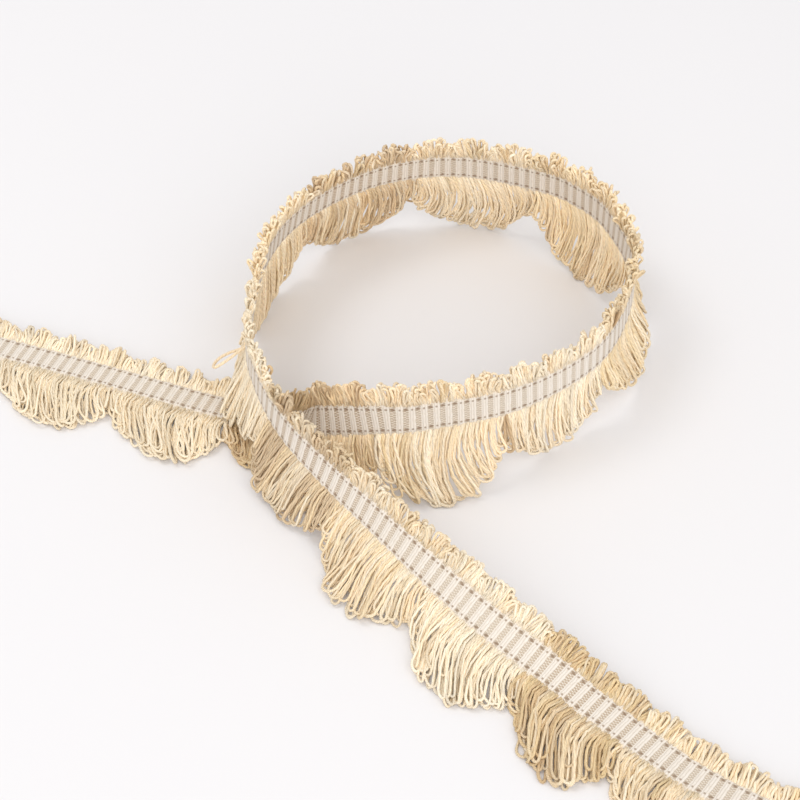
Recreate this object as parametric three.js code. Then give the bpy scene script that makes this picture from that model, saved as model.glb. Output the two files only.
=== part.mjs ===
// A length of woven trim with a long looped fan fringe on one edge and a short
// looped heading on the other. It lies flat, curls once into a ring that stands
// on its fringe, passes over itself and lies down again.
// Millimetres, +Z up, resting on Z = 0.
import * as THREE from "three";

// Woven band
const ribPitch = 3.4;
const bandWidth = 10.5;
const ribThickness = 1.4;
const grooveThickness = 1;
const ribShare = 0.5;
const bandRise = 0.03;

// Fringe on both edges
const joinGap = 0.4;
const stripWidth = 1.3;
const yarnThickness = 1.4;
const lockShare = 0.78;
const tipShare = 0.6;
const fanLockPitch = 3.75;
const shortestLoop = 5.5;
const fullLoop = 20.3;
const headingLockPitch = 6.35;
const headingLoop = 4.2;
const headingDraw = 0.9;
const steepest = 45;
const bendShare = 0.6;

const rad = THREE.MathUtils.degToRad;
const stripReach = bandWidth / 2 + joinGap + stripWidth;
const up = new THREE.Vector3(0, 0, 1);

// Centre line of the band: place of each station and how far the band leans
// from lying flat (0) to standing on its fringe (90 degrees).
const route = [
  // x, y, z, lean
  [-135, 27.6, 0.7, 0],
  [-95.7, 12.8, 0.7, 0],
  [-57, -2.6, 0.7, 0],
  [-38.5, -9.2, 1.2, 4],
  [-30.5, -14.5, 4.5, 22],
  [-26, -20.5, 11, 45],
  [-22, -26.5, 17, 57],
  [-6, -33.5, 24, 72],
  [6, -33.6, 25, 78],
  [31.7, -26.2, 25, 84],
  [53.4, -10.4, 25, 88],
  [64.5, 9.5, 24.5, 88],
  [68.6, 31, 26, 92],
  [62.6, 51.3, 27, 90],
  [54.5, 62.4, 27, 88],
  [43.3, 70.2, 27, 87],
  [17.8, 77.8, 27, 84],
  [-6.9, 72.5, 27, 80],
  [-28.2, 55.6, 27, 78],
  [-39.5, 34, 27, 82],
  [-43, 4.5, 26, 86],
  [-41.3, -14.2, 25.5, 88],
  [-30.3, -37.9, 23, 82],
  [-5.1, -65.8, 16.5, 66],
  [20.5, -90.8, 9, 40],
  [39.2, -106.6, 4.2, 22],
  [50.2, -117, 2.2, 11],
  [72.7, -137.2, 0.7, 0],
  [100, -155.5, 0.7, 0],
  [120, -169, 0.7, 0],
];

const colours = {
  cream: 0xe9dcc0,
  pale: 0xf0e6d2,
  gold: 0xd9c08f,
  tan: 0xcdb68e,
  taupe: 0xb8a282,
};

// One row for each fan of the fringe: the rib where it ends, its longest loop,
// how far its loops stand out from straight down (degrees, negative inward),
// how far their tips run forward along the trim, the height of what its first
// and second half stand on, and its yarn.
const fans = [
  // to, loop, splay, forward, rest, lastRest, yarn
  [5.5, 20.3, 90, 8, 0, 0, "cream"],
  [16.5, 20.3, 90, 8, 0, 0, "cream"],
  [27.5, 20.3, 90, 8, 0, 0, "cream"],
  [33.7, 13, 90, 3, 0, 0, "tan"],
  [44.2, 20.3, 24, 10, 0, 0, "tan"],
  [55, 20.5, 24, 0, 0, 0, "cream"],
  [65.8, 16.4, 3, 0, 0, 0, "pale"],
  [79, 16, 18, 0, 0, 0, "gold"],
  [92.5, 20.4, -14, 0, 0, 0, "gold"],
  [103.7, 20.5, 8, 0, 0, 0, "cream"],
  [115.3, 20.4, 14, 0, 0, 0, "taupe"],
  [128.5, 20.6, 5, 0, 0, 0, "gold"],
  [141.3, 18, 13, 0, 2.4, 2.4, "pale"],
  [151.8, 15.5, 28, -7, 2.4, 0, "taupe"],
  [161.8, 18.6, 38, 0, 0, 0, "cream"],
  [171.9, 19.6, 60, 7, 0, 0, "pale"],
  [181.5, 20.3, 80, 8, 0, 0, "gold"],
  [192.5, 20.3, 90, 8, 0, 0, "cream"],
  [203, 20.3, 90, 8, 0, 0, "cream"],
];
const forwardColumn = 3;
const firstFanPhase = 0.5;

const spline = new THREE.CatmullRomCurve3(
  route.map(([x, y, z]) => new THREE.Vector3(x, y, z)), false, "catmullrom", 0.5);
const leanSpline = new THREE.CatmullRomCurve3(
  route.map(([, , , lean], i) => new THREE.Vector3(i, lean, 0)), false, "catmullrom", 0.5);
const samplesPerSpan = 40;
const samples = routeSamples();
const ribCount = Math.floor(samples.at(-1).s / ribPitch);

// Points along the route with the length travelled so far
function routeSamples() {
  const count = (route.length - 1) * samplesPerSpan;
  const list = [];
  for (let i = 0; i <= count; i++) {
    const p = spline.getPoint(i / count);
    const lean = Math.max(leanSpline.getPoint(i / count).y, 0);
    const lowEdge = yarnThickness / 2 * Math.cos(rad(lean)) + stripReach * Math.sin(rad(lean));
    p.z = Math.max(p.z, lowEdge + bandRise);
    const s = i === 0 ? 0 : list[i - 1].s + p.distanceTo(list[i - 1].p);
    list.push({ s, p, lean });
  }
  return list;
}

// Place, heading and cross directions of the band at a length along it.
// across points to the heading edge, out is the normal of its upper face.
function frameAt(s) {
  let k = samples.findIndex((sample) => sample.s > s) - 1;
  if (k < 0) k = s <= 0 ? 0 : samples.length - 2;
  const a = samples[k];
  const b = samples[k + 1];
  const w = (s - a.s) / (b.s - a.s);
  const before = samples[Math.max(k - 1, 0)].p;
  const after = samples[Math.min(k + 2, samples.length - 1)].p;
  const along = after.clone().sub(before).normalize();
  const left = new THREE.Vector3(-along.y, along.x, 0).normalize();
  const up = along.clone().cross(left);
  const lean = a.lean + (b.lean - a.lean) * w;
  const across = left.clone().multiplyScalar(Math.cos(rad(lean)));
  across.addScaledVector(up, Math.sin(rad(lean)));
  const out = along.clone().cross(across);
  return { p: a.p.clone().lerp(b.p, w), along, left, up, across, out, lean };
}

// Triangles of the four sides between two rings of corners, but for the one
// side that is left open
function wrap(positions, ring, next, open = -1) {
  for (let k = 0; k < 4; k++) {
    const n = (k + 1) % 4;
    if (k !== open) quad(positions, ring[k], ring[n], next[n], next[k]);
  }
}

function quad(positions, a, b, c, d) {
  positions.push(...a, ...b, ...c, ...a, ...c, ...d);
}

function meshOf(positions) {
  const geometry = new THREE.BufferGeometry();
  geometry.setAttribute("position", new THREE.Float32BufferAttribute(positions, 3));
  return geometry;
}

// Ring of the band or of a strip: the corners of its section from low to high
// across the band
function crossRing(s, low, high, thickness) {
  const frame = frameAt(s);
  const corner = (side, height) => frame.p.clone()
    .addScaledVector(frame.across, side)
    .addScaledVector(frame.out, height);
  const half = thickness / 2;
  return [corner(low, -half), corner(high, -half), corner(high, half), corner(low, half)];
}

function bandGeometry() {
  const rings = [];
  const edge = bandWidth / 2;
  const slope = ribPitch * (1 - ribShare) / 2;
  for (let rib = 0; rib < ribCount; rib++) {
    const s = rib * ribPitch;
    rings.push(crossRing(s, -edge, edge, grooveThickness));
    rings.push(crossRing(s + slope, -edge, edge, ribThickness));
    rings.push(crossRing(s + ribPitch - slope, -edge, edge, ribThickness));
  }
  rings.push(crossRing(ribCount * ribPitch, -edge, edge, grooveThickness));
  const positions = [];
  quad(positions, rings[0][3], rings[0][2], rings[0][1], rings[0][0]);
  rings.slice(1).forEach((ring, i) => wrap(positions, rings[i], ring));
  quad(positions, ...rings.at(-1));
  return meshOf(positions);
}

// A strip beside one edge of the band with locks of yarn growing out of its
// outer face. lockRings gives the rings of lock i beyond its root.
function fringeGeometry(from, to, side, count, lockRings) {
  const inner = side * (bandWidth / 2 + joinGap);
  const outer = side * stripReach;
  const low = Math.min(inner, outer);
  const high = Math.max(inner, outer);
  const ringAt = (s) => crossRing(s, low, high, yarnThickness);
  const outerSide = side > 0 ? 1 : 3;
  const pitch = (to - from) / count;
  const width = pitch * lockShare;
  const positions = [];
  let last = ringAt(from);
  quad(positions, last[3], last[2], last[1], last[0]);
  for (let i = 0; i < count; i++) {
    const middle = from + (i + 0.5) * pitch;
    const start = ringAt(middle - width / 2);
    const end = ringAt(middle + width / 2);
    wrap(positions, last, start);
    wrap(positions, start, end, outerSide);
    const next = (outerSide + 1) % 4;
    let ring = [start[outerSide], start[next], end[next], end[outerSide]];
    for (const further of lockRings(i, middle, width)) {
      wrap(positions, ring, further);
      ring = further;
    }
    quad(positions, ...ring);
    last = end;
  }
  const end = ringAt(to);
  wrap(positions, last, end);
  quad(positions, ...end);
  return meshOf(positions);
}

// Ring of a lock: its wide way along the trim, its thin way along face
function lockRing(centre, wide, face, width) {
  const corner = (a, b) => centre.clone()
    .addScaledVector(wide, a * width / 2)
    .addScaledVector(face, b * yarnThickness / 2);
  return [corner(-1, -1), corner(-1, 1), corner(1, 1), corner(1, -1)];
}

// One lock of fan loops. A steep one runs straight to its foot, which is level.
// Any other bends where it meets the floor and lies level from there on.
function fanLock(s, length, splay, forward, rest, width) {
  const frame = frameAt(s);
  const root = frame.p.clone().addScaledVector(frame.across, -stripReach);
  const wide = frame.along.clone().setZ(0).normalize();
  const run = forward * length / fullLoop;
  const fall = Math.sqrt(length * length - run * run);
  const drop = root.z - rest;
  const tip = (side, height) => root.clone()
    .addScaledVector(frame.left, -side)
    .addScaledVector(wide, run)
    .setZ(height);
  const angle = Math.max(Math.abs(rad(splay)), Math.acos(Math.min(drop / fall, 1)));
  if (angle <= rad(steepest)) {
    const side = Math.sign(splay) * fall * Math.sin(angle);
    const end = tip(side, root.z - fall * Math.cos(angle));
    const direction = end.clone().sub(root).normalize();
    const face = frame.along.clone().cross(direction).normalize();
    const foot = lockRing(end, wide, face, width * tipShare);
    for (const corner of foot) {
      corner.addScaledVector(direction, (end.z - corner.z) / direction.z);
    }
    return [lockRing(root.clone().lerp(end, bendShare), wide, face, width), foot];
  }
  const side = Math.sqrt(Math.max(fall * fall - drop * drop, 0));
  const lying = rest + yarnThickness / 2;
  const end = tip(side, lying);
  const bend = root.clone().lerp(end, bendShare).setZ(lying);
  const down = up.clone().negate();
  return [lockRing(bend, wide, down, width), lockRing(end, wide, down, width * tipShare)];
}

function fanGeometry(from, to, fan, phase) {
  const [, loop, splay, , rest, lastRest] = fan;
  const count = Math.round((to - from) / fanLockPitch);
  return fringeGeometry(from, to, -1, count, (i, s, width) => {
    const turn = phase + (1 - phase) * (i + 0.5) / count;
    const length = shortestLoop + (loop - shortestLoop) * Math.sin(Math.PI * turn) ** 0.7;
    const standsOn = turn < 0.5 ? rest : lastRest;
    return fanLock(s, length, splay, forwardAt(s / ribPitch), standsOn, width);
  });
}

// How far tips run forward at a rib, blended between the middles of the fans
function forwardAt(rib) {
  const starts = [0, ...fans.map(([to]) => to)];
  const middles = fans.map(([to], i) => (starts[i] + to) / 2);
  const next = middles.findIndex((middle) => middle > rib);
  if (next === 0) return fans[0][forwardColumn];
  if (next < 0) return fans.at(-1)[forwardColumn];
  const share = (rib - middles[next - 1]) / (middles[next] - middles[next - 1]);
  return THREE.MathUtils.lerp(fans[next - 1][forwardColumn], fans[next][forwardColumn], share);
}

// Short heading loops: two locks to a scallop, drawn towards its middle
function headingGeometry(from, to) {
  const count = 2 * Math.max(1, Math.round((to - from) / headingLockPitch / 2));
  return fringeGeometry(from, to, 1, count, (i, s, width) => {
    const frame = frameAt(s);
    const root = frame.p.clone().addScaledVector(frame.across, stripReach);
    const drawn = i % 2 === 0 ? headingDraw : -headingDraw;
    const bend = root.clone().addScaledVector(frame.across, headingLoop * bendShare);
    const end = root.clone().addScaledVector(frame.across, headingLoop);
    end.addScaledVector(frame.along, drawn);
    return [
      lockRing(bend, frame.along, frame.out, width),
      lockRing(end, frame.along, frame.out, width * tipShare),
    ];
  });
}

const yarns = Object.fromEntries(Object.entries(colours).map(([name, color]) => [
  name, new THREE.MeshStandardMaterial({ color, roughness: 0.95, metalness: 0 }),
]));
const woven = new THREE.MeshStandardMaterial({ color: 0xe2d6c2, roughness: 0.9, metalness: 0 });

function named(name, geometry, material) {
  geometry.computeVertexNormals();
  const mesh = new THREE.Mesh(geometry, material);
  mesh.name = name;
  return mesh;
}

const trim = new THREE.Group();
trim.add(named("band", bandGeometry(), woven));
let start = joinGap;
fans.forEach((fan, i) => {
  const end = fan[0] * ribPitch - joinGap;
  const number = String(i + 1).padStart(2, "0");
  const phase = i === 0 ? firstFanPhase : 0;
  trim.add(named(`fan_${number}`, fanGeometry(start, end, fan, phase), yarns[fan[5]]));
  trim.add(named(`heading_${number}`, headingGeometry(start, end), yarns[fan[5]]));
  start = end + 2 * joinGap;
});

const box = new THREE.Box3().setFromObject(trim);
const middle = box.getCenter(new THREE.Vector3());
trim.position.set(-middle.x, -middle.y, -box.min.z);

export default trim;
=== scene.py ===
"""A length of woven fan edge trim, curled once into a standing ring that passes over itself.

Sizes are in millimetres in the tables and settings, and become metres where a mesh gets its place.
"""

import bisect
import math
import random
from collections import namedtuple

import bmesh
import bpy
from bpy.props import FloatProperty, FloatVectorProperty, IntProperty, PointerProperty
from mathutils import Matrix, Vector


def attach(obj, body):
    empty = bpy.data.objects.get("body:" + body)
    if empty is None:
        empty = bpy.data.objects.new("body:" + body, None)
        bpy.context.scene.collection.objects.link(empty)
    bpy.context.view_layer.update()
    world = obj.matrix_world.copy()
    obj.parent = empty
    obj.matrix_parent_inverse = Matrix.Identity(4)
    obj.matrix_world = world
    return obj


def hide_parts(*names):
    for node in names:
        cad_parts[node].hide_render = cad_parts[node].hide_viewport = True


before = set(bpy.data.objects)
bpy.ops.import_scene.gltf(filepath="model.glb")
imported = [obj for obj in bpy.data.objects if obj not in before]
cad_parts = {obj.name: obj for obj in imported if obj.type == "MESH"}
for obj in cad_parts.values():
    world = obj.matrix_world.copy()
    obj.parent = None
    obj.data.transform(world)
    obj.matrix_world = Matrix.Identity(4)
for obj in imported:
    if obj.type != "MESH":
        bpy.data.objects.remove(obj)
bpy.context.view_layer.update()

bl_info = {
    "name": "Fan edge trim",
    "version": (1, 0, 0),
    "blender": (4, 5, 0),
    "location": "3D View > Sidebar > Trim",
    "description": "Builds a woven trim with looped fringe on both edges",
    "category": "Add Mesh",
}

MM = 0.001

# From the middle of the picture, where the route was laid out, to the middle of the trim
ORIGIN_SHIFT = Vector((7.695, 51.434, 0))

# Centre line of the band: place of each station and its lean, 0 lying flat and 90 standing on its fringe
ROUTE = [
    # x, y, z, lean
    (-135, 27.6, 0.7, 0),
    (-95.7, 12.8, 0.7, 0),
    (-57, -2.6, 0.7, 0),
    (-38.5, -9.2, 1.2, 4),
    (-30.5, -14.5, 4.5, 22),
    (-26, -20.5, 11, 45),
    (-22, -26.5, 17, 57),
    (-6, -33.5, 24, 72),
    (6, -33.6, 25, 78),
    (31.7, -26.2, 25, 84),
    (53.4, -10.4, 25, 88),
    (64.5, 9.5, 24.5, 88),
    (68.6, 31, 26, 92),
    (62.6, 51.3, 27, 90),
    (54.5, 62.4, 27, 88),
    (43.3, 70.2, 27, 87),
    (17.8, 77.8, 27, 84),
    (-6.9, 72.5, 27, 80),
    (-28.2, 55.6, 27, 78),
    (-39.5, 34, 27, 82),
    (-43, 4.5, 26, 86),
    (-41.3, -14.2, 25.5, 88),
    (-30.3, -37.9, 23, 82),
    (-5.1, -65.8, 16.5, 66),
    (20.5, -90.8, 9, 40),
    (39.2, -106.6, 4.2, 22),
    (50.2, -117, 2.2, 11),
    (72.7, -137.2, 0.7, 0),
    (100, -155.5, 0.7, 0),
    (120, -169, 0.7, 0),
]

# One row for each fan: the rib where it ends, its longest loop, how far it stands out from straight down in
# degrees, how far its tips run forward, what its first and second half stand on, and its yarn
Fan = namedtuple("Fan", "to loop splay forward rest last_rest yarn")
FANS = [
    Fan(5.5, 20.3, 90, 8, 0, 0, "cream"),
    Fan(16.5, 20.3, 90, 8, 0, 0, "cream"),
    Fan(27.5, 20.3, 90, 8, 0, 0, "cream"),
    Fan(33.7, 13, 90, 3, 0, 0, "tan"),
    Fan(44.2, 20.3, 24, 10, 0, 0, "tan"),
    Fan(55, 20.5, 24, 0, 0, 0, "cream"),
    Fan(65.8, 16.4, 3, 0, 0, 0, "pale"),
    Fan(79, 16, 18, 0, 0, 0, "gold"),
    Fan(92.5, 20.4, -14, 0, 0, 0, "gold"),
    Fan(103.7, 20.5, 8, 0, 0, 0, "cream"),
    Fan(115.3, 20.4, 14, 0, 0, 0, "taupe"),
    Fan(128.5, 20.6, 5, 0, 0, 0, "gold"),
    Fan(141.3, 18, 13, 0, 2.4, 2.4, "pale"),
    Fan(151.8, 15.5, 28, -7, 2.4, 0, "taupe"),
    Fan(161.8, 18.6, 38, 0, 0, 0, "cream"),
    Fan(171.9, 19.6, 60, 7, 0, 0, "pale"),
    Fan(181.5, 20.3, 80, 8, 0, 0, "gold"),
    Fan(192.5, 20.3, 90, 8, 0, 0, "cream"),
    Fan(203, 20.3, 90, 8, 0, 0, "cream"),
]
RIB_COUNT = 203

# The first fan begins halfway through, because the picture cuts it
FIRST_FAN_PHASE = 0.5

# Half the gap between two fans, from the middle of the band to where its loops bend down, a full loop, and
# the shortest loop, which stands between two fans
JOIN_GAP = 0.4
STRIP_REACH = 6.95
FULL_LOOP = 20.3
SHORTEST_LOOP = 5.5

# A loop that stands out further than this bends down to what it lies on
STEEPEST = math.radians(45)

# Steps along a loop, how many of them go round its tip on each side, and half the space between its legs at
# the root
FAN_STEPS, FAN_TURN, FAN_GAPE = 14, 3, 0.35
HEADING_STEPS, HEADING_TURN, HEADING_GAPE = 8, 2, 0.3
STRAY_TURN = 3

# Height of a yarn's middle over what it lies on, and how far one leg of a loop lies over the other
YARN_SEAT = 0.6
LEG_STEP = 0.2

# Fan loops lie in three layers, gather into locks and, finer, into tufts, and bow back between root and tip
LAYERS = 3
LAYER_LIFT = 0.65
LOCK_PITCH = 13
TUFT_PITCH = 4.9
BOW = 2.3

# Shares of the fan loops that are as long as their place in the fan asks, and that hang wide open
FULL_LENGTH_SHARE = 0.85
OPEN_SHARE = 0.2

# Length of one scallop of the heading
SCALLOP = 12.7

# From yarn to yarn: how far the twist is moved along, and how much the thickness swings round its mean
TWIST_OFFSET = 7.3
THICKNESS_SWING = 0.12

# Weave of the band: a thread of a white rib, a step of the pale warps, half sizes of the dark dot on a rib
# and of the dash in the ground, and the taper of each edge with the share of the thickness that it leaves
RIB_THREAD = 0.76
WARP_STEP = 0.74
DOT = (0.42, 0.38)
DASH = (0.8, 0.52)
EDGE_TAPER = 1.6
EDGE_SHARE = 0.22

# Faces of the band to a rib, and across it
FACES_PER_RIB = 6
FACES_ACROSS = 14

# Shades in the weave and the floor that are not settings, the first of them painted shade for the grooves
# between the threads of a rib
THREAD_GROOVE_SHADE = "#C8BCAC"
PALE_GROUND = "#D2C5B3"
PLAIN_EDGE = "#EBDBC4"
HANDLED = "#D2C0A8"
PAPER_FLECK = "#E0DEDF"

# Each yarn is dyed along its length: it takes its shades from these, by their shares
YARNS = {
    "cream": (("cream", 7), ("pale", 4), ("gold", 2)),
    "pale": (("pale", 6), ("cream", 4)),
    "gold": (("gold", 5), ("cream", 2), ("tan", 3), ("pale", 1)),
    "tan": (("tan", 5), ("gold", 3), ("cream", 2), ("taupe", 2)),
    "taupe": (("taupe", 5), ("tan", 4), ("gold", 2), ("pale", 2)),
}

# How much of the browner shade the ground of the band takes beside each yarn
BROWN = {"pale": 0.15, "cream": 0.35, "gold": 0.75, "tan": 0.9, "taupe": 1.0}

# How much brighter or darker than the rest the yarn of some fans is made, and how far it is washed towards
# the palest shade
FanTone = namedtuple("FanTone", "tone paler")
FAN_TONES = {
    1: FanTone(1.01, 0.35),
    2: FanTone(1.02, 0.45),
    3: FanTone(1.02, 0.45),
    5: FanTone(1.1, 0.12),
    6: FanTone(1.03, 0),
    8: FanTone(1, 0.25),
    9: FanTone(1.12, 0.3),
    10: FanTone(1.06, 0.1),
    11: FanTone(1.08, 0.15),
    12: FanTone(1.12, 0.4),
    14: FanTone(0.95, 0.2),
    15: FanTone(0.96, 0),
    17: FanTone(0.94, 0),
}

# Single loops that hang out of line: the edge and rib where they root, their length, the radius of their
# tip, how far they lean out of the band's face, and their shade
Stray = namedtuple("Stray", "edge rib length radius out shade")
STRAYS = [
    Stray("fan", 132.6, 13, 3.0, 1.2, "cream"),
    Stray("heading", 40.4, 6.4, 1.2, 0.5, "taupe"),
    Stray("heading", 67.6, 6.2, 1.1, 0.4, "taupe"),
    Stray("heading", 139.8, 6.0, 0.8, -0.3, "tan"),
    Stray("fan", 55.3, 11.5, 1.1, 0.3, "taupe"),
    Stray("fan", 91.6, 14, 1.5, 0.3, "pale"),
    Stray("fan", 92.3, 11.5, 1.3, 0.3, "pale"),
    Stray("fan", 103.4, 15.5, 2.0, 0.3, "taupe"),
    Stray("fan", 114.8, 11, 1.1, 0.3, "tan"),
]

# Place of each lamp from the middle of the trim and its size, in metres, and its power, in watts
Lamp = namedtuple("Lamp", "name place size power")
LAMPS = (
    Lamp("left_softbox", (-0.5, 0.1, 0.95), 0.4, 1.9),
    Lamp("front_softbox", (0.4, -1.6, 1.1), 2.2, 22),
)
ROOM_LIGHT = 0.8
FLOOR_HALF = 3
SENSOR = 36


def linear(code):
    """Linear colour of an sRGB hex code."""
    parts = [int(code[i : i + 2], 16) / 255 for i in (1, 3, 5)]
    return tuple(c / 12.92 if c <= 0.04045 else ((c + 0.055) / 1.055) ** 2.4 for c in parts)


def colour(name, code, about):
    """A colour setting."""
    return FloatVectorProperty(name=name, description=about, subtype="COLOR", size=3, default=linear(code))


def millimetres(name, default, about):
    """A size setting."""
    return FloatProperty(name=name, description=f"{about}, in millimetres", default=default)


class TrimBand(bpy.types.PropertyGroup):
    """Woven band"""

    rib_pitch: millimetres("Rib pitch", 3.4, "From rib to rib")
    width: millimetres("Width", 10.5, "Width of the band")
    rib: millimetres("Rib", 1.4, "Thickness over a rib")
    groove: millimetres("Groove", 1.0, "Thickness in a groove")
    marker_half: millimetres("Marker", 3.1, "From the middle to a dark warp")
    white: colour("White rib", "#EAE1D6", "Bleached cotton of the ribs")
    ground: colour("Ground", "#B39779", "Tan weft between the ribs")
    hatch: colour("Hatch", "#E2D6C6", "Fine pale warps that cross the ground")
    marker: colour("Marker", "#84664A", "Dark warp beside each fringe")


class TrimYarn(bpy.types.PropertyGroup):
    """Looped yarn"""

    diameter: millimetres("Yarn", 0.82, "Thickness of the yarn")
    twist: millimetres("Twist", 3.2, "Length of one turn of the plies")
    loop_pitch: millimetres("Loop pitch", 0.62, "From loop to loop of a fan")
    heading_pitch: millimetres("Heading pitch", 0.5, "From loop to loop of the heading")
    heading: millimetres("Heading", 5.6, "Longest heading loop")
    sides: IntProperty(name="Sides", description="Sides of a yarn", default=5)
    pale: colour("Pale", "#FFF2DA", "Undyed stretch")
    cream: colour("Cream", "#FEE8C6", "Lightest dyed stretch")
    gold: colour("Gold", "#F0D6A8", "Golden stretch")
    tan: colour("Tan", "#E3C59B", "Tan stretch")
    taupe: colour("Taupe", "#D0B38E", "Darkest stretch")


class TrimStage(bpy.types.PropertyGroup):
    """Floor, lights and camera"""

    floor: colour("Floor", "#EAE8E9", "Pale paper floor")
    height: FloatProperty(name="Camera angle", description="Angle above the floor, in degrees", default=43)
    distance: millimetres("Camera distance", 630, "From the camera to the middle")
    lens: millimetres("Lens", 96.75, "Focal length")


def along_curve(rows, i, w):
    """Point of the curve through rows, at share w of the span after row i."""

    def row(k):
        if k < 0:
            return [2 * a - b for a, b in zip(rows[0], rows[1])]
        if k >= len(rows):
            return [2 * a - b for a, b in zip(rows[-1], rows[-2])]
        return rows[k]

    point = []
    for a, b, c, d in zip(row(i - 1), row(i), row(i + 1), row(i + 2)):
        start, end = (c - a) / 2, (d - b) / 2
        point.append(
            b + start * w + (3 * (c - b) - 2 * start - end) * w**2 + (2 * (b - c) + start + end) * w**3
        )
    return point


def route_samples(per_span=40, thickness=1.4, rise=0.03):
    """(length travelled, point, lean) along the whole route."""
    samples = []
    for i in range((len(ROUTE) - 1) * per_span + 1):
        span = min(i // per_span, len(ROUTE) - 2)
        x, y, z, lean = along_curve(ROUTE, span, i / per_span - span)
        lean = max(lean, 0)
        low = thickness / 2 * math.cos(math.radians(lean)) + STRIP_REACH * math.sin(math.radians(lean))
        point = Vector((x, y, max(z, low + rise))) + ORIGIN_SHIFT
        travelled = samples[-1][0] + (point - samples[-1][1]).length if samples else 0
        samples.append((travelled, point, lean))
    return samples


SAMPLES = route_samples()
LENGTHS = [sample[0] for sample in SAMPLES]


class Place:
    """The band at length s: its point, and the ways along it, left over the floor, across it to the heading
    edge and out of its face."""

    def __init__(self, s):
        k = min(max(bisect.bisect_right(LENGTHS, s) - 1, 0), len(SAMPLES) - 2)
        (start, here, lean), (end, there, next_lean) = SAMPLES[k], SAMPLES[k + 1]
        share = (s - start) / (end - start)
        before, after = SAMPLES[max(k - 1, 0)][1], SAMPLES[min(k + 2, len(SAMPLES) - 1)][1]
        self.point = here.lerp(there, share)
        self.along = (after - before).normalized()
        self.left = Vector((-self.along.y, self.along.x, 0)).normalized()
        self.lean = math.radians(lean + (next_lean - lean) * share)
        up = self.along.cross(self.left)
        self.across = self.left * math.cos(self.lean) + up * math.sin(self.lean)
        self.out = self.along.cross(self.across)


def add(tree, kind, inputs=None, **settings):
    """Adds a node: settings are its own, and inputs hold values, or sockets to link from."""
    node = tree.nodes.new(kind)
    for key, value in settings.items():
        setattr(node, key, value)
    for key, value in (inputs or {}).items():
        if isinstance(value, bpy.types.NodeSocket):
            tree.links.new(value, node.inputs[key])
        else:
            node.inputs[key].default_value = value
    return node


def maths(tree, operation, a, b=0.0):
    """Result of one operation on numbers or sockets."""
    return add(tree, "ShaderNodeMath", {0: a, 1: b}, operation=operation).outputs[0]


def ramp(tree, value, low, high, to_low=0.0, to_high=1.0):
    """Smooth step from to_low to to_high, while the value goes from low to high."""
    inputs = {"Value": value, "From Min": low, "From Max": high, "To Min": to_low, "To Max": to_high}
    return add(tree, "ShaderNodeMapRange", inputs, interpolation_type="SMOOTHSTEP").outputs["Result"]


def mixed(tree, share, a, b):
    """Colour a, with a share of colour b."""
    inputs = {"Factor": share, 6: a, 7: b}
    return add(tree, "ShaderNodeMix", inputs, data_type="RGBA").outputs[2]


def new_material(name):
    """A material, its tree and its shader."""
    material = bpy.data.materials.new(name)
    material.use_nodes = True
    tree = material.node_tree
    tree.nodes.clear()
    surface = add(tree, "ShaderNodeBsdfPrincipled")
    output = add(tree, "ShaderNodeOutputMaterial", {"Surface": surface.outputs[0]})
    output.target = "ALL"
    return material, tree, surface


def opaque(value):
    """A colour with full alpha."""
    return (*value, 1)


def off_middle(tree, value):
    """How far a share lies from a half."""
    return maths(tree, "ABSOLUTE", maths(tree, "SUBTRACT", value, 0.5))


def reach(tree, x, y, half):
    """How far a point lies out from the middle of an oval of these half sizes, 1 at its rim."""
    across = maths(tree, "POWER", maths(tree, "DIVIDE", x, half[0]), 2.0)
    along = maths(tree, "POWER", maths(tree, "DIVIDE", y, half[1]), 2.0)
    return maths(tree, "SQRT", maths(tree, "ADD", across, along))


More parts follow.
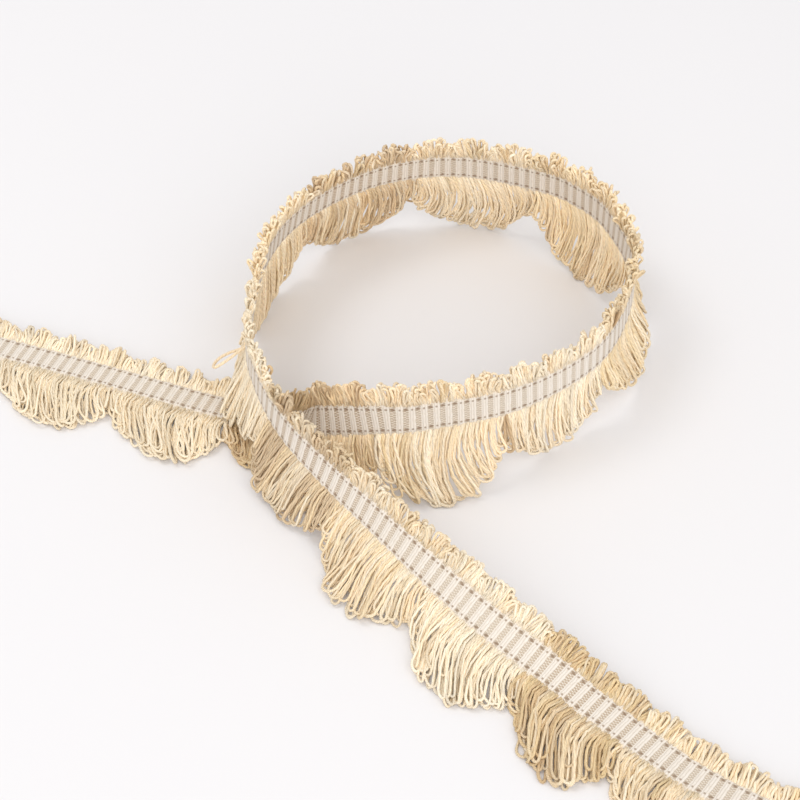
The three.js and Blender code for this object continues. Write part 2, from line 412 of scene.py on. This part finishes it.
def woven_rep(band):
    """Woven cotton rep, matt: white ribs of three threads over a tan ground that fine pale warps cross.

    A dark warp runs beside each fringe, and shows as a dot on each rib and a dash in the ground. The ground
    takes some of the shade of the fan beside it."""
    material, tree, surface = new_material("woven_cotton_rep")
    place = add(tree, "ShaderNodeUVMap", uv_map="cloth").outputs[0]
    split = add(tree, "ShaderNodeSeparateXYZ", {0: place})
    along, across = split.outputs[0], split.outputs[1]
    from_middle = maths(tree, "ABSOLUTE", across)
    uneven = add(tree, "ShaderNodeTexNoise", {"Vector": place, "Scale": 0.9, "Detail": 2.0}).outputs["Fac"]

    # Share of the way from one column of ground to the next, half on the middle of the rib between them
    wobble = maths(tree, "MULTIPLY", maths(tree, "SUBTRACT", uneven, 0.5), 0.16)
    rib = maths(tree, "FRACT", maths(tree, "ADD", maths(tree, "DIVIDE", along, band.rib_pitch), wobble))
    in_column = maths(tree, "SUBTRACT", maths(tree, "FRACT", maths(tree, "ADD", rib, 0.5)), 0.5)

    # Painted shade darkens the grooves between the three threads of each white rib, which the bump also
    # sinks
    threads = maths(tree, "MULTIPLY", rib, band.rib_pitch / RIB_THREAD)
    between = ramp(tree, off_middle(tree, maths(tree, "FRACT", threads)), 0.32, 0.0, 0.0, 0.5)
    white = mixed(tree, between, opaque(band.white), opaque(linear(THREAD_GROOVE_SHADE)))

    # The pale warps of one half of a column lie between those of the other half
    half_step = maths(tree, "MULTIPLY", maths(tree, "GREATER_THAN", in_column, 0.0), 0.5)
    row = maths(tree, "ADD", maths(tree, "DIVIDE", across, WARP_STEP), half_step)
    hatch = ramp(tree, off_middle(tree, maths(tree, "FRACT", row)), 0.14, 0.36)
    dye = add(tree, "ShaderNodeVertexColor", layer_name="dye").outputs["Color"]
    ground = mixed(tree, dye, opaque(linear(PALE_GROUND)), opaque(band.ground))
    tan = mixed(tree, hatch, ground, opaque(band.hatch))
    column = ramp(tree, off_middle(tree, rib), 0.23, 0.33)
    weave = mixed(tree, column, white, tan)

    past_marker = maths(tree, "SUBTRACT", from_middle, band.marker_half)
    on_rib = maths(tree, "MULTIPLY", maths(tree, "SUBTRACT", rib, 0.5), band.rib_pitch)
    dot = ramp(tree, reach(tree, on_rib, past_marker, DOT), 0.5, 1.1, 0.7, 0.0)
    on_column = maths(tree, "MULTIPLY", in_column, band.rib_pitch)
    dash = ramp(tree, reach(tree, on_column, past_marker, DASH), 0.4, 1.2, 0.8, 0.0)
    marked = mixed(tree, maths(tree, "MAXIMUM", dot, dash), weave, opaque(band.marker))

    edge = ramp(tree, from_middle, band.marker_half + 0.4, band.marker_half + 1.3, 0.0, 0.55)
    edged = mixed(tree, edge, marked, opaque(linear(PLAIN_EDGE)))
    handled = mixed(tree, ramp(tree, uneven, 0.35, 0.75, 0.0, 0.22), edged, opaque(linear(HANDLED)))
    tree.links.new(handled, surface.inputs["Base Color"])
    surface.inputs["Roughness"].default_value = 0.85
    surface.inputs["Sheen Weight"].default_value = 0.15
    height = maths(tree, "SUBTRACT", maths(tree, "MULTIPLY", hatch, column), between)
    bump = add(tree, "ShaderNodeBump", {"Height": height, "Distance": 0.0002, "Strength": 0.7})
    tree.links.new(bump.outputs[0], surface.inputs["Normal"])
    return material


def plied_yarn(yarn):
    """Soft two-ply cotton, spun and dyed: matt, with painted shade in the groove between the plies, so that
    the back of each ply shows lighter.
    """
    material, tree, surface = new_material("two_ply_cotton_yarn")
    place = add(tree, "ShaderNodeUVMap", uv_map="yarn").outputs[0]
    split = add(tree, "ShaderNodeSeparateXYZ", {0: place})
    turns = maths(tree, "DIVIDE", split.outputs[0], yarn.twist)
    plies = maths(tree, "MULTIPLY", maths(tree, "ADD", turns, split.outputs[1]), 2.0)
    back = maths(tree, "ABSOLUTE", maths(tree, "SINE", maths(tree, "MULTIPLY", plies, math.pi)))
    # Painted shade darkens the dye in the groove between the plies
    groove = ramp(tree, back, 0.0, 0.55, 0.84, 1.0)
    fibre = add(tree, "ShaderNodeTexNoise", {"Vector": place, "Scale": 2.5, "Detail": 2.0}).outputs["Fac"]
    fluff = ramp(tree, fibre, 0.3, 0.7, 0.93, 1.05)
    dye = add(tree, "ShaderNodeVertexColor", layer_name="dye").outputs["Color"]
    light = {0: dye, "Scale": maths(tree, "MULTIPLY", groove, fluff)}
    shade = add(tree, "ShaderNodeVectorMath", light, operation="SCALE").outputs[0]
    tree.links.new(shade, surface.inputs["Base Color"])
    surface.inputs["Roughness"].default_value = 0.9
    surface.inputs["Specular IOR Level"].default_value = 0.25
    surface.inputs["Sheen Weight"].default_value = 0.1
    surface.inputs["Sheen Tint"].default_value = opaque(yarn.cream)
    bump = add(tree, "ShaderNodeBump", {"Height": back, "Distance": 0.0002, "Strength": 0.6})
    tree.links.new(bump.outputs[0], surface.inputs["Normal"])
    return material


def finished(bm, name, material, node):
    """Makes a piece of a mesh, gives it its finish and lets it stand for its node."""
    mesh = bpy.data.meshes.new(name)
    bm.to_mesh(mesh)
    bm.free()
    for face in mesh.polygons:
        face.use_smooth = True
    piece = bpy.data.objects.new(name, mesh)
    bpy.context.scene.collection.objects.link(piece)
    mesh.materials.append(material)
    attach(piece, "root")
    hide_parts(node)


def named_material(name, make, settings):
    """The material of this name, made at its first use."""
    return bpy.data.materials.get(name) or make(settings)


def rib_height(band, s):
    """Half the band's thickness at a length: full over a white rib, less in the ground beside it."""
    swell = 0.5 + 0.5 * math.cos((s / band.rib_pitch % 1 - 0.5) * 2 * math.pi)
    return (band.groove + (band.rib - band.groove) * swell**0.6) / 2


def woven_band(band):
    """The band: a flat strip of many small faces, given its thickness and then laid along the route."""
    length = RIB_COUNT * band.rib_pitch
    bm = bmesh.new()
    bmesh.ops.create_grid(bm, x_segments=RIB_COUNT * FACES_PER_RIB, y_segments=FACES_ACROSS, size=0.5)
    bmesh.ops.scale(bm, verts=bm.verts, vec=(length, band.width, 1))
    bmesh.ops.translate(bm, verts=bm.verts, vec=(length / 2, 0, 0))
    bmesh.ops.solidify(bm, geom=bm.faces[:], thickness=1)
    layer = bm.loops.layers.uv.new("cloth")
    for face in bm.faces:
        for corner in face.loops:
            corner[layer].uv = corner.vert.co.xy
    dye = bm.verts.layers.float_color.new("dye")
    top = max(v.co.z for v in bm.verts)
    places = {}
    for vert in bm.verts:
        s, v, z = vert.co
        key = round(s, 3)
        if key not in places:
            places[key] = Place(s)
        place = places[key]
        edge = min(1, (band.width / 2 - abs(v)) / EDGE_TAPER)
        half = rib_height(band, s) * (EDGE_SHARE + (1 - EDGE_SHARE) * edge)
        side = 1 if top - z < 0.5 else -1
        brown = blended(s / band.rib_pitch, lambda fan: BROWN[fan.yarn])
        vert[dye] = (brown, brown, brown, 1)
        vert.co = (place.point + place.across * v + place.out * side * half) * MM
    bmesh.ops.recalc_face_normals(bm, faces=bm.faces)
    return bm


def yarn_template(name, steps, sides, radius):
    """A straight yarn of unit length along Z, with its length and its turn round in a UV map."""
    bm = bmesh.new()
    bmesh.ops.create_cone(bm, cap_ends=True, segments=sides, radius1=radius, radius2=radius, depth=1)
    bmesh.ops.translate(bm, verts=bm.verts, vec=(0, 0, 0.5))
    sides_up = [e for e in bm.edges if abs(e.verts[0].co.z - e.verts[1].co.z) > 0.5]
    bmesh.ops.subdivide_edges(bm, edges=sides_up, cuts=steps - 1)
    layer = bm.loops.layers.uv.new("yarn")
    for face in bm.faces:
        turns = [math.atan2(c.vert.co.y, c.vert.co.x) / (2 * math.pi) % 1 for c in face.loops]
        wraps = max(turns) - min(turns) > 0.5
        for corner, turn in zip(face.loops, turns):
            corner[layer].uv = (corner.vert.co.z, turn + 1 if wraps and turn < 0.5 else turn)
    mesh = bpy.data.meshes.new(name)
    bm.to_mesh(mesh)
    bm.free()
    return mesh


def bent_yarns(template, steps, paths):
    """Copies of the straight yarn, each bent along its own path of (point, colour) pairs."""
    bm = bmesh.new()
    shape = [(v.co.z, v.co.x, v.co.y) for v in template.vertices]
    count = len(shape)
    faces = len(template.polygons)
    for _ in paths:
        bm.from_mesh(template)
    bm.verts.ensure_lookup_table()
    bm.faces.ensure_lookup_table()
    uv = bm.loops.layers.uv["yarn"]
    dye = bm.verts.layers.float_color.new("dye")
    for n, path in enumerate(paths):
        points = [point for point, _ in path]
        frames = turning_frames(points)
        length = sum((b - a).length for a, b in zip(points, points[1:]))
        start = n * TWIST_OFFSET
        size = 1 + THICKNESS_SWING * math.sin(2.4 * n)
        for i, (t, x, y) in enumerate(shape):
            k = min(int(t * steps + 0.5), steps)
            side, face = frames[k]
            vert = bm.verts[n * count + i]
            vert.co = (points[k] + (side * x + face * y) * size) * MM
            vert[dye] = opaque(path[k][1])
        for f in range(n * faces, (n + 1) * faces):
            for corner in bm.faces[f].loops:
                corner[uv].uv.x = corner[uv].uv.x * length + start
    return bm


def turning_frames(points):
    """Two directions square to the path at each point, which turn as little as they can."""
    last = len(points) - 1
    ways = [(points[min(k + 1, last)] - points[max(k - 1, 0)]).normalized() for k in range(last + 1)]
    side = ways[0].orthogonal().normalized()
    frames = []
    for way in ways:
        side = (side - way * side.dot(way)).normalized()
        frames.append((side, way.cross(side)))
    return frames


def bezier(a, b, c, d, u):
    """Point at share u of the curve with these control points."""
    w = 1 - u
    return a * w**3 + b * (3 * w * w * u) + c * (3 * w * u * u) + d * u**3


FAN_STARTS = [0] + [fan.to for fan in FANS]
FAN_MIDDLES = [(start + fan.to) / 2 for start, fan in zip(FAN_STARTS, FANS)]


def blended(rib, value):
    """A value of the fans at a rib, blended between the middles of the fans."""
    k = bisect.bisect_right(FAN_MIDDLES, rib)
    if k in (0, len(FANS)):
        return value(FANS[min(k, len(FANS) - 1)])
    share = (rib - FAN_MIDDLES[k - 1]) / (FAN_MIDDLES[k] - FAN_MIDDLES[k - 1])
    return value(FANS[k - 1]) * (1 - share) + value(FANS[k]) * share


def fan_stem(place, length, splay, forward, rest, lift, root_at):
    """Control points of the middle line of a loop, from inside the band to its tip, and its way sideways.

    A steep loop hangs from the strip beside the band, and any other bends down to what it lies on."""
    root = place.point - place.across * root_at
    strip = place.point - place.across * STRIP_REACH
    wide = Vector((place.along.x, place.along.y, 0)).normalized()
    run = forward * length / FULL_LOOP
    fall = math.sqrt(max(length**2 - run**2, 1))
    low = rest + YARN_SEAT
    drop = strip.z - rest
    angle = max(abs(splay), math.acos(min(drop / fall, 1)))
    if angle <= STEEPEST:
        side = math.copysign(fall * math.sin(angle), splay) + lift
        tip = strip - place.left * side + wide * run
        tip.z = max(strip.z - fall * math.cos(angle), low)
        late = tip.lerp(root, 0.35) - place.left * lift * 0.5
        late.z = max(late.z - 1.0, low)
    else:
        side = math.sqrt(max(fall**2 - drop**2, 0))
        tip = strip - place.left * side + wide * run
        tip.z = low + lift
        late = tip.lerp(root, 0.4)
        late.z = tip.z + 0.15 * drop
    early = root - place.across * (length * 0.3)
    early.z = max(early.z, low + lift * 0.5)
    return (root, early, late, tip), wide


class SpaceDyed:
    """Yarn dyed in stretches: its shade drifts to the next as the loops use it up."""

    def __init__(self, yarn, number, rng):
        dye = FAN_TONES.get(number + 1, FanTone(1, 0))
        pale = Vector(yarn.pale)
        self.shades = []
        for name, share in YARNS[FANS[number].yarn]:
            self.shades += [Vector(getattr(yarn, name)).lerp(pale, dye.paler) * dye.tone] * share
        self.rng = rng
        self.shade = rng.choice(self.shades)

    def loop(self, change=0.6):
        """A function from the share along the next loop to its colour."""
        if self.rng.random() < change:
            self.shade = self.shade.lerp(self.rng.choice(self.shades), self.rng.uniform(0.4, 1))
        start, end = (self.shade.lerp(self.rng.choice(self.shades), 0.5) for _ in range(2))
        tone = min(self.rng.gauss(0.97, 0.06), 1.06)
        return lambda t: start.lerp(end, t * t * (3 - 2 * t)) * tone


def loop_path(stem, wide, radius, gape, tilt, colours, steps, turned, sway, floor):
    """A loop of yarn round its middle line: down one leg, round the tip and up the other.

    The turned steps on each side of the tip are a quarter circle of the radius, and the legs draw in to the
    gape at the root. sway gives how far the middle line swings sideways at a share of its length."""
    root, early, late, tip = stem
    length = (tip - root).length
    half = steps // 2
    path = []
    for k in range(-half, half + 1):
        away = abs(k)
        if away <= turned:
            turn = away / turned * math.pi / 2
            side = radius * math.sin(turn)
            back = radius * (1 - math.cos(turn))
        else:
            share = (away - turned) / (half - turned)
            side = gape + (radius - gape) * (0.5 + 0.5 * math.cos(math.pi * share))
            back = radius + (length - radius) * share
        u = 1 - back / length
        point = bezier(root, early, late, tip, u)
        ahead = bezier(root, early, late, tip, u + 0.02) - bezier(root, early, late, tip, u - 0.02)
        face = ahead.cross(wide).normalized()
        lateral = wide * math.cos(tilt) + face * math.sin(tilt)
        other = face * math.cos(tilt) - wide * math.sin(tilt)
        leg = math.copysign(1, k)
        over = LEG_STEP * leg * min(1, away / turned)
        point = point + lateral * side * leg + other * over + wide * sway(u)
        point.z = max(point.z, floor)
        path.append((point, colours((k + half) / steps)))
    return path


def fan_loops(number, fan, start, band, yarn):
    """Paths of the loops of one fan, their steps, and where the next fan starts."""
    end = fan.to * band.rib_pitch - JOIN_GAP
    rng = random.Random(100 + number)
    dyed = SpaceDyed(yarn, number, rng)
    count = round((end - start) / yarn.loop_pitch)
    skipped = FIRST_FAN_PHASE if number == 0 else 0
    phase = rng.uniform(0, 2 * math.pi)
    paths = []
    for i in range(count):
        share = (i + 0.5) / count
        turn = skipped + (1 - skipped) * share
        s = start + share * (end - start) + rng.uniform(-0.3, 0.3)
        length = SHORTEST_LOOP + (fan.loop - SHORTEST_LOOP) * math.sin(math.pi * turn) ** 0.7
        length *= rng.uniform(0.9, 1.02) if rng.random() < FULL_LENGTH_SHARE else rng.uniform(0.7, 0.9)
        rest = fan.rest if turn < 0.5 else fan.last_rest
        lift = i * 2 % LAYERS * LAYER_LIFT + rng.uniform(0, 0.35)
        forward = blended(s / band.rib_pitch, lambda fan: fan.forward) + rng.gauss(0, 0.8)
        root_at = band.width / 2 - rng.uniform(0.9, 1.4)
        stem, wide = fan_stem(Place(s), length, math.radians(fan.splay), forward, rest, lift, root_at)
        open_loop = rng.random() < OPEN_SHARE
        radius = min(rng.uniform(1.9, 2.5) if open_loop else rng.uniform(0.9, 1.7), length / 4)
        tilt = rng.uniform(-0.3, 0.3) if open_loop else rng.gauss(0, 0.5)
        swing, waves = rng.uniform(0, 2 * math.pi), rng.uniform(0.5, 1.1)

        def sway(u, s=s, length=length, swing=swing, waves=waves):
            lock = 1.2 * math.sin(2 * math.pi * s / LOCK_PITCH + phase + 2 * u)
            tuft = 0.4 * math.sin(2 * math.pi * s / TUFT_PITCH)
            sweep = 0.8 * math.sin(phase + 5.5 * u) + 0.9 * math.sin(swing + waves * 2 * math.pi * u)
            return ((lock + tuft + sweep) * u - BOW * math.sin(math.pi * u)) * length / FULL_LOOP

        form = (radius, FAN_GAPE, tilt, dyed.loop(), FAN_STEPS, FAN_TURN)
        paths.append(loop_path(stem, wide, *form, sway, yarn.diameter / 2))
    paths += stray_loops("fan", start, end, FAN_STEPS, band, yarn)
    return paths, FAN_STEPS, end + 2 * JOIN_GAP


def stray_loops(edge, start, end, steps, band, yarn):
    """Paths of the single loops that hang out of line from one edge of the band."""
    paths = []
    for stray in STRAYS:
        if stray.edge != edge or not start <= stray.rib * band.rib_pitch < end:
            continue
        place = Place(stray.rib * band.rib_pitch)
        way = place.across if edge == "heading" else -place.across
        root = place.point + way * (band.width / 2 - 1)
        tip = root + (way + place.out * stray.out).normalized() * stray.length
        stem = (root, root.lerp(tip, 0.3), root.lerp(tip, 0.7), tip)
        shade = Vector(getattr(yarn, stray.shade))
        form = (stray.radius, HEADING_GAPE, 0.2, lambda t: shade, steps, STRAY_TURN)
        paths.append(loop_path(stem, place.along, *form, lambda u: 0, yarn.diameter / 2))
    return paths


def heading_loops(number, fan, start, band, yarn):
    """Paths of the short loops beside one fan, in scallops of tufts with a tuft to a rib, their steps, and
    where the next stretch starts."""
    end = fan.to * band.rib_pitch - JOIN_GAP
    rng = random.Random(500 + number)
    dyed = SpaceDyed(yarn, number, rng)
    scallops = max(1, round((end - start) / SCALLOP))
    count = round((end - start) / yarn.heading_pitch)
    paths = []
    for i in range(count):
        share = (i + 0.5) / count
        s = start + share * (end - start) + rng.uniform(-0.2, 0.2)
        place = Place(s)
        phase = share * scallops % 1
        length = yarn.heading * (0.52 + 0.5 * math.sin(math.pi * phase)) * rng.uniform(0.85, 1.02)

        # Loops of the flat runs bend up off the floor, and those of the ring to either side
        flat = math.cos(place.lean)
        back = rng.gauss(0, 0.22) * (1 - 0.6 * flat) + abs(rng.gauss(0, 0.3)) * flat
        to_rib = 0.5 - s / band.rib_pitch % 1
        sideways = to_rib * 0.25 + (phase - 0.5) * 0.5 + rng.gauss(0, 0.16)
        way = (place.across + place.out * back + place.along * sideways).normalized()
        inside = rng.uniform(0.9, 1.4)
        root = place.point + place.across * (band.width / 2 - inside)
        tip = root + way * (length + inside)
        early = root + place.across * length * 0.45
        late = tip.lerp(root, 0.3) + place.out * rng.uniform(-0.4, 0.7)
        tip.z = max(tip.z, YARN_SEAT)
        radius = rng.uniform(0.4, 0.9)
        tilt = rng.gauss(0, 0.8)
        bow = rng.gauss(0, 0.35)

        def sway(u, bow=bow):
            return bow * math.sin(math.pi * u)

        form = (radius, HEADING_GAPE, tilt, dyed.loop(), HEADING_STEPS, HEADING_TURN)
        paths.append(loop_path((root, early, late, tip), place.along, *form, sway, yarn.diameter / 2))
    paths += stray_loops("heading", start, end, HEADING_STEPS, band, yarn)
    return paths, HEADING_STEPS, end + 2 * JOIN_GAP


def paper_floor(stage):
    """Matt white paper with a fleck too faint to see as a pattern."""
    paper, tree, surface = new_material("matt_paper")
    grain = add(tree, "ShaderNodeTexNoise", {"Scale": 30.0, "Detail": 2.0}).outputs["Fac"]
    fleck = ramp(tree, grain, 0.3, 0.7, 0.0, 0.03)
    shade = mixed(tree, fleck, opaque(stage.floor), opaque(linear(PAPER_FLECK)))
    tree.links.new(shade, surface.inputs["Base Color"])
    surface.inputs["Roughness"].default_value = 0.9
    bm = bmesh.new()
    bmesh.ops.create_grid(bm, x_segments=1, y_segments=1, size=FLOOR_HALF)
    mesh = bpy.data.meshes.new("floor")
    bm.to_mesh(mesh)
    bm.free()
    mesh.materials.append(paper)
    return bpy.data.objects.new("floor", mesh)


def softbox(lamp, middle):
    """A square soft light that faces the middle of the trim."""
    light = bpy.data.lights.new(lamp.name, "AREA")
    light.size = lamp.size
    light.energy = lamp.power
    box = bpy.data.objects.new(lamp.name, light)
    box.location = middle + Vector(lamp.place)
    box.rotation_euler = (middle - box.location).to_track_quat("-Z", "Y").to_euler()
    return box


def camera_at(stage, middle):
    """The camera before the trim, turned down to the middle."""
    height = math.radians(stage.height)
    away = Vector((0, -math.cos(height), math.sin(height))) * stage.distance * MM
    camera = bpy.data.objects.new("camera", bpy.data.cameras.new("camera"))
    camera.data.lens = stage.lens
    camera.data.sensor_width = SENSOR
    camera.location = middle + away
    camera.rotation_euler = (-away).to_track_quat("-Z", "Y").to_euler()
    return camera


class TRIM_OT_band(bpy.types.Operator):
    """Weave the band"""

    bl_idname = "trim.band"
    bl_label = "Woven band"

    def execute(self, context):
        band = context.scene.trim_band
        material = named_material("woven_cotton_rep", woven_rep, band)
        finished(woven_band(band), "woven_band", material, "band")
        return {"FINISHED"}


class TRIM_OT_fringe(bpy.types.Operator):
    """Hang the long fan loops on one edge and the short heading loops on the other"""

    bl_idname = "trim.fringe"
    bl_label = "Looped fringe"

    def execute(self, context):
        band, yarn = context.scene.trim_band, context.scene.trim_yarn
        material = named_material("two_ply_cotton_yarn", plied_yarn, yarn)
        for kind, loops in (("fan", fan_loops), ("heading", heading_loops)):
            start = JOIN_GAP
            for number, fan in enumerate(FANS):
                paths, steps, start = loops(number, fan, start, band, yarn)
                template = yarn_template(f"{kind}_yarn", steps, yarn.sides, yarn.diameter / 2)
                bm = bent_yarns(template, steps, paths)
                bpy.data.meshes.remove(template)
                node = f"{kind}_{number + 1:02d}"
                finished(bm, f"{kind}_loops_{number + 1:02d}", material, node)
        return {"FINISHED"}


class TRIM_OT_stage(bpy.types.Operator):
    """Lay the pale floor and set the lights and the camera"""

    bl_idname = "trim.stage"
    bl_label = "Stage"

    def execute(self, context):
        stage, scene = context.scene.trim_stage, context.scene
        floor = paper_floor(stage)
        scene.collection.objects.link(floor)

        middle = ORIGIN_SHIFT * MM
        for lamp in LAMPS:
            scene.collection.objects.link(softbox(lamp, middle))
        world = bpy.data.worlds.new("studio")
        world.use_nodes = True
        background = world.node_tree.nodes["Background"]
        background.inputs["Color"].default_value = opaque(linear("#FFFFFF"))
        background.inputs["Strength"].default_value = ROOM_LIGHT
        scene.world = world

        camera = camera_at(stage, middle)
        scene.collection.objects.link(camera)
        scene.camera = camera
        scene.view_settings.view_transform = "Standard"
        return {"FINISHED"}


class TRIM_PT_panel(bpy.types.Panel):
    """Settings and pieces of the trim"""

    bl_label = "Fan edge trim"
    bl_idname = "TRIM_PT_panel"
    bl_space_type = "VIEW_3D"
    bl_region_type = "UI"
    bl_category = "Trim"

    def draw(self, context):
        for group in (context.scene.trim_band, context.scene.trim_yarn, context.scene.trim_stage):
            column = self.layout.column()
            for key in group.__annotations__:
                column.prop(group, key)
        for operator in (TRIM_OT_stage, TRIM_OT_band, TRIM_OT_fringe):
            self.layout.operator(operator.bl_idname)


CLASSES = (TrimBand, TrimYarn, TrimStage, TRIM_OT_band, TRIM_OT_fringe, TRIM_OT_stage, TRIM_PT_panel)


def register():
    for cls in CLASSES:
        bpy.utils.register_class(cls)
    bpy.types.Scene.trim_band = PointerProperty(type=TrimBand)
    bpy.types.Scene.trim_yarn = PointerProperty(type=TrimYarn)
    bpy.types.Scene.trim_stage = PointerProperty(type=TrimStage)


def unregister():
    del bpy.types.Scene.trim_stage
    del bpy.types.Scene.trim_yarn
    del bpy.types.Scene.trim_band
    for cls in reversed(CLASSES):
        bpy.utils.unregister_class(cls)


def main():
    register()
    bpy.ops.trim.stage()
    bpy.ops.trim.band()
    bpy.ops.trim.fringe()


if __name__ == "__main__":
    main()
